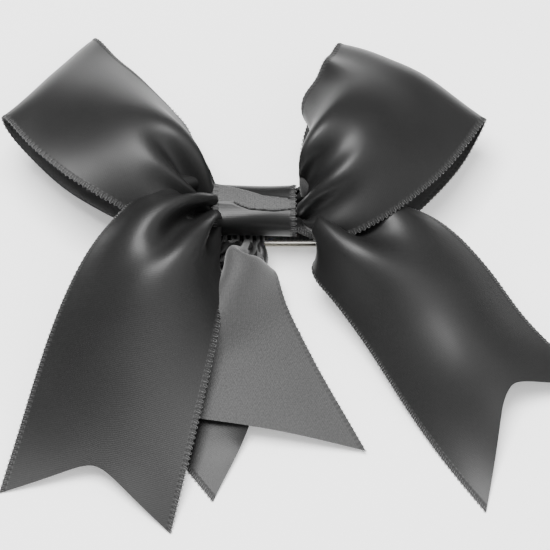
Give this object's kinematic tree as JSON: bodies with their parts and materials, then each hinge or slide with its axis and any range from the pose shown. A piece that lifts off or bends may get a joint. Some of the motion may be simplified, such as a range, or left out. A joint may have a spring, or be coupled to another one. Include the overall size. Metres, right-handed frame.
{
  "type": "cheer hair bow",
  "caption": "Satin ribbon cheer bow with open loops, fishtail tails, a wrapped knot and a sprung alligator clip behind it.",
  "frame": {"origin": "under the knot, on the flat outer face of the clip's lower arm, which is also the surface the bow lies on", "axes": "+Z is the front of the bow, -Y is the way the tails hang, +X runs along the clip towards its tip"},
  "size_m": [0.1365, 0.1286, 0.0263],
  "materials": {
    "satin_ribbon": "black polyester satin, soft gloss",
    "ribbon_reverse": "dull woven reverse of the satin",
    "thread": "waxed black polyester thread",
    "lining_ribbon": "black grosgrain ribbon",
    "hot_glue": "set hot-melt glue, slightly cloudy",
    "nickel_steel": "nickel-plated stamped steel",
    "spring_steel": "bright drawn spring wire"
  },
  "bodies": {
    "bow": {"left_loop": "satin_ribbon", "right_loop": "satin_ribbon", "left_tail": "satin_ribbon", "right_tail": "satin_ribbon", "ribbon_waist": "satin_ribbon", "under_tail_top": "ribbon_reverse", "under_tail_bottom": "satin_ribbon", "under_tail_fold": "ribbon_reverse", "gather_thread": "thread", "centre_wrap": "satin_ribbon", "clip_glue": "hot_glue", "clip_lining": "lining_ribbon", "clip_upper_arm": "nickel_steel", "clip_pin": "nickel_steel", "clip_spring": "spring_steel"},
    "clip_lower_arm": {"clip_lower_arm": "nickel_steel"}
  },
  "joints": [
    {"name": "clip_jaw", "type": "hinge", "parent": "bow", "child": "clip_lower_arm", "pos_m": [-0.009, 0, 0.0022], "axis": [0, 1, 0], "range_deg": [0, 22], "stiffness_Nm_per_rad": 0.03, "springref_deg": -45.84, "deforming": ["clip_spring"]}
  ]
}
